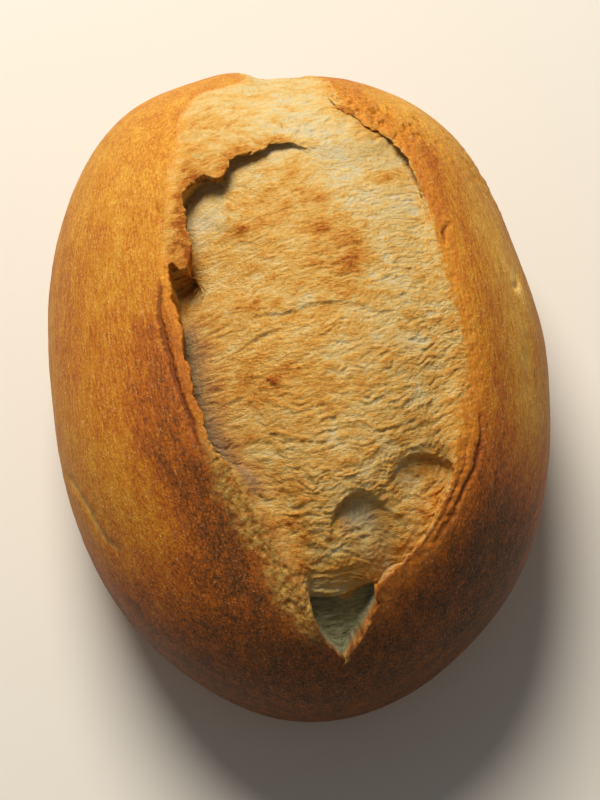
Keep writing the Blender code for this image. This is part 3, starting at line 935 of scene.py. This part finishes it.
class Shader:
    """Short calls for building one material's nodes."""

    def __init__(self, name):
        self.material = bpy.data.materials.new(name)
        self.material.use_nodes = True
        self.tree = self.material.node_tree
        self.surface = self.tree.nodes["Principled BSDF"]
        self.place = self.tree.nodes.new("ShaderNodeTexCoord").outputs["Object"]

    def link(self, source, target):
        """Feeds an input from another node's output or with a fixed value."""
        if isinstance(source, bpy.types.NodeSocket):
            self.tree.links.new(source, target)
        else:
            target.default_value = source

    def share(self, name):
        """One of the shares that the mesh carries at its points."""
        node = self.tree.nodes.new("ShaderNodeAttribute")
        node.attribute_name = name
        return node.outputs["Fac"]

    def stretched(self, per_mm):
        """The place on the object, with the given cells a millimetre along each axis."""
        node = self.tree.nodes.new("ShaderNodeMapping")
        self.link(self.place, node.inputs["Vector"])
        node.inputs["Scale"].default_value = [MM_PER_METRE * value for value in per_mm]
        return node.outputs["Vector"]

    def noise(self, per_mm, detail=3.0, roughness=0.55):
        """Noise of about -1 to 1."""
        node = self.tree.nodes.new("ShaderNodeTexNoise")
        self.link(self.stretched(per_mm), node.inputs["Vector"])
        node.inputs["Scale"].default_value = 1.0
        node.inputs["Detail"].default_value = detail
        node.inputs["Roughness"].default_value = roughness
        return self.rise(node.outputs["Fac"], 0.2, 0.8, -1.0, 1.0, "LINEAR")

    def spots(self, per_mm, rare, size):
        """Uneven round spots in some cells: 1 inside a spot."""
        bent = self.tree.nodes.new("ShaderNodeTexNoise")
        vector = self.stretched(per_mm)
        self.link(vector, bent.inputs["Vector"])
        bent.inputs["Scale"].default_value = 2.0
        shift = self.tree.nodes.new("ShaderNodeVectorMath")
        shift.operation = "MULTIPLY_ADD"
        self.link(bent.outputs["Color"], shift.inputs[0])
        shift.inputs[1].default_value = (0.7, 0.7, 0.7)
        self.link(vector, shift.inputs[2])
        node = self.tree.nodes.new("ShaderNodeTexVoronoi")
        self.link(shift.outputs["Vector"], node.inputs["Vector"])
        node.inputs["Scale"].default_value = 1.0
        split = self.tree.nodes.new("ShaderNodeSeparateColor")
        self.link(node.outputs["Color"], split.inputs["Color"])
        near = self.rise(node.outputs["Distance"], size, 0.3 * size)
        return self.math("MULTIPLY", near, self.rise(split.outputs["Red"], rare, rare + 0.15))

    def math(self, operation, *values):
        """The result of one operation on the values."""
        node = self.tree.nodes.new("ShaderNodeMath")
        node.operation = operation
        for value, target in zip(values, node.inputs):
            self.link(value, target)
        return node.outputs["Value"]

    def total(self, first, *weighed):
        """The first value plus each further value times its weight."""
        for value, weight in weighed:
            first = self.math("MULTIPLY_ADD", value, weight, first)
        return first

    def rise(self, value, low, high, to_low=0.0, to_high=1.0, kind="SMOOTHSTEP"):
        """A smooth or straight passage from one value at low to another at high."""
        node = self.tree.nodes.new("ShaderNodeMapRange")
        node.interpolation_type = kind
        targets = ("Value", "From Min", "From Max", "To Min", "To Max")
        for target, given in zip(targets, (value, low, high, to_low, to_high)):
            self.link(given, node.inputs[target])
        return node.outputs["Result"]

    def ramp(self, value, stops):
        """A colour that runs through the stops' colours as the value rises from 0 to 1."""
        node = self.tree.nodes.new("ShaderNodeValToRGB")
        self.link(value, node.inputs["Fac"])
        elements = node.color_ramp.elements
        while len(elements) < len(stops):
            elements.new(0.5)
        for element, (position, colour) in zip(elements, stops):
            element.position = position
            element.color = linear(*colour)
        return node.outputs["Color"]

    def mix(self, share, first, second):
        """The first colour where the share is 0 and the second where it is 1."""
        node = self.tree.nodes.new("ShaderNodeMix")
        node.data_type = "RGBA"
        self.link(share, node.inputs["Factor"])
        self.link(first, node.inputs["A"])
        self.link(second, node.inputs["B"])
        return node.outputs["Result"]

    def bump(self, height, distance, strength):
        """Shading of fine relief, whose height of 1 stands for the given distance."""
        node = self.tree.nodes.new("ShaderNodeBump")
        self.link(height, node.inputs["Height"])
        node.inputs["Distance"].default_value = distance
        node.inputs["Strength"].default_value = strength
        return node.outputs["Normal"]


def crust_colour(s):
    """Browned crust: streaks along the roll, mottling and small pale blisters."""
    streaks = s.noise((2.4, 0.40, 2.4), 4.0, 0.6)
    bands = s.noise((0.50, 0.10, 0.50), 3.0, 0.55)
    mottle = s.noise((0.30, 0.18, 0.30), 4.0, 0.6)
    fine = s.noise((3.0, 1.8, 3.0), 3.0, 0.6)
    brown = s.total(s.share("brown"), (streaks, 0.21), (bands, 0.11), (mottle, 0.08), (fine, 0.19))
    colour = s.ramp(brown, CRUST_COLOURS)
    rough = s.noise((0.9, 0.9, 0.9), 5.0, 0.7)
    slope = s.math("MULTIPLY", s.share("slope"), s.rise(rough, -0.5, 0.3, 0.45, 0.9))
    on_slope = s.mix(s.rise(rough, -0.5, 0.5), linear(*DARK_SLOPE), linear(*PALE_SLOPE))
    colour = s.mix(slope, colour, on_slope)
    toasted = s.rise(s.total(s.share("edge"), (fine, 0.5)), 0.3, 1.0)
    colour = s.mix(s.math("MULTIPLY", toasted, 0.35), colour, linear(*EDGE_COLOUR))
    small = s.spots((1.9, 1.5, 1.9), 0.40, 0.38)
    large = s.spots((0.60, 0.45, 0.60), 0.72, 0.26)
    specks = s.math("MAXIMUM", s.math("MULTIPLY", small, 0.24), s.math("MULTIPLY", large, 0.20))
    specks = s.math("MULTIPLY", specks, s.rise(brown, 0.4, 0.9, 1.0, 0.4))
    colour = s.mix(specks, colour, linear(*SPECK_COLOUR))
    split = s.rise(s.share("crack"), 0.08, 0.45, 0.0, 0.75)
    colour = s.mix(split, colour, linear(*CRACK_COLOUR))
    opened = s.rise(s.total(s.share("burst"), (fine, 0.15)), 0.12, 0.5, 0.0, 0.75)
    return s.mix(opened, colour, linear(*BURST_COLOUR)), small


def crumb_colour(s):
    """Torn crumb: cream, toasted on its ridges, and grey in its hollows, pocket and left valley, partly
    moist crumb and partly painted shade.
    """
    fibres = s.noise((0.5, 3.0, 1.5), 4.0, 0.6)
    patches = s.noise((0.22, 0.35, 0.3), 4.0, 0.6)
    specks = s.noise((1.8, 2.4, 2.0), 3.0, 0.6)
    ridge = s.math("SUBTRACT", s.share("ridge"), 0.5)
    toast = s.total(s.share("toast"), (fibres, 0.18), (patches, 0.30), (specks, 0.22), (ridge, 0.50))
    # Grey of the hollows: partly moist crumb, partly painted cool shade
    grey_and_shade = s.rise(s.total(s.share("pale"), (patches, 0.25), (specks, 0.25)), 0.2, 0.8)
    colour = s.mix(grey_and_shade, s.ramp(toast, CRUMB_COLOURS), linear(*GREY_CRUMB_AND_SHADE_COLOUR))
    # Painted shade: the pocket and the valley under the left lip are greyed
    moist_and_shade = s.share("moist_and_shade")
    moist_and_shade_colour = s.mix(s.rise(fibres, -0.7, 0.7), linear(*DARK_MOIST_AND_SHADE), linear(*PALE_MOIST_AND_SHADE))
    return s.mix(moist_and_shade, colour, moist_and_shade_colour)


def bread_material():
    """Crust and crumb in one material, mixed by the shares that the meshes carry."""
    s = Shader("baked_bread")
    on_crust, blisters = crust_colour(s)
    colour = s.mix(s.share("crumb"), on_crust, crumb_colour(s))
    floury = s.rise(s.noise((0.5, 0.5, 0.5), 5.0, 0.65), -0.2, 0.6)
    flour = s.math("MULTIPLY", s.math("MULTIPLY", s.share("base"), floury), 0.5)
    colour = s.mix(flour, colour, linear(*FLOUR_COLOUR))
    s.link(colour, s.surface.inputs["Base Color"])
    roughness = s.rise(s.share("crumb"), 0.0, 1.0, CRUST_ROUGHNESS, CRUMB_ROUGHNESS)
    s.link(roughness, s.surface.inputs["Roughness"])
    s.surface.inputs["Specular IOR Level"].default_value = BREAD_SPECULAR
    pits = s.noise((2.4, 1.6, 2.4), 5.0, 0.7)
    crust_bump = s.total(0.0, (pits, 0.35), (blisters, 0.4))
    crumb_bump = s.noise((2.4, 4.5, 4.0), 5.0, 0.7)
    height = s.mix(s.share("crumb"), crust_bump, crumb_bump)
    s.link(s.bump(height, BUMP_DEPTH, 1.0), s.surface.inputs["Normal"])
    return s.material


def camera():
    """The photograph's viewing angle: the roll's far end up, turned a little."""
    turn, tilt = CAMERA_TURN, CAMERA_ELEVATION
    right = Vector((math.cos(turn), -math.sin(turn), 0.0))
    up = Vector((math.sin(turn) * math.sin(tilt), math.cos(turn) * math.sin(tilt), math.cos(tilt)))
    back = Vector((-math.sin(turn) * math.cos(tilt), -math.cos(turn) * math.cos(tilt), math.sin(tilt)))
    view = bpy.data.cameras.new("photo_view")
    view.sensor_width = SENSOR_MM
    view.lens = FOCAL_PIXELS / PICTURE_HEIGHT * SENSOR_MM
    view.clip_start = CAMERA_CLIP_START
    eye = bpy.data.objects.new("photo_view", view)
    bpy.context.scene.collection.objects.link(eye)
    metres_per_pixel = CAMERA_DISTANCE / FOCAL_PIXELS
    aim = Vector((0.0, 0.0, WIDEST_LEVEL / MM_PER_METRE))
    aim += right * AIM_RIGHT * metres_per_pixel + up * AIM_UP * metres_per_pixel
    place = Matrix((right, up, back)).transposed().to_4x4()
    place.translation = aim + back * CAMERA_DISTANCE
    eye.matrix_world = place
    bpy.context.scene.camera = eye


def key_light():
    """A soft round light from high behind the far end, aimed at the roll."""
    light = bpy.data.lights.new("key", "AREA")
    light.shape = "DISK"
    light.size = KEY_SIZE
    light.energy = KEY_POWER
    light.color = KEY_COLOUR
    lamp = bpy.data.objects.new("key", light)
    bpy.context.scene.collection.objects.link(lamp)
    towards = Vector(KEY_DIRECTION).normalized()
    lamp.location = towards * KEY_DISTANCE
    lamp.rotation_euler = towards.to_track_quat("Z", "Y").to_euler()


def room_light():
    """Low, even light from all sides."""
    world = bpy.data.worlds.new("room")
    world.use_nodes = True
    background = world.node_tree.nodes["Background"]
    background.inputs["Color"].default_value = ROOM_COLOUR
    background.inputs["Strength"].default_value = ROOM_STRENGTH
    bpy.context.scene.world = world
    bpy.context.scene.view_settings.view_transform = "Standard"


def floor():
    """A plain pale floor."""
    bpy.ops.mesh.primitive_plane_add(size=FLOOR_SIZE, location=(0.0, 0.0, FLOOR_LEVEL))
    ground = bpy.context.object
    ground.name = "floor"
    s = Shader("pale_floor")
    s.surface.inputs["Base Color"].default_value = linear(*FLOOR_COLOUR)
    s.surface.inputs["Roughness"].default_value = FLOOR_ROUGHNESS
    ground.data.materials.append(s.material)


def main():
    camera()
    key_light()
    room_light()
    floor()
    material = bread_material()
    direction, triangles = ball()
    points, shares = surface(direction)
    middle = (points.min(axis=0) + points.max(axis=0))[:2] / 2.0
    crust(middle, direction, triangles, points, shares, material)
    torn_split(middle, material)


main()
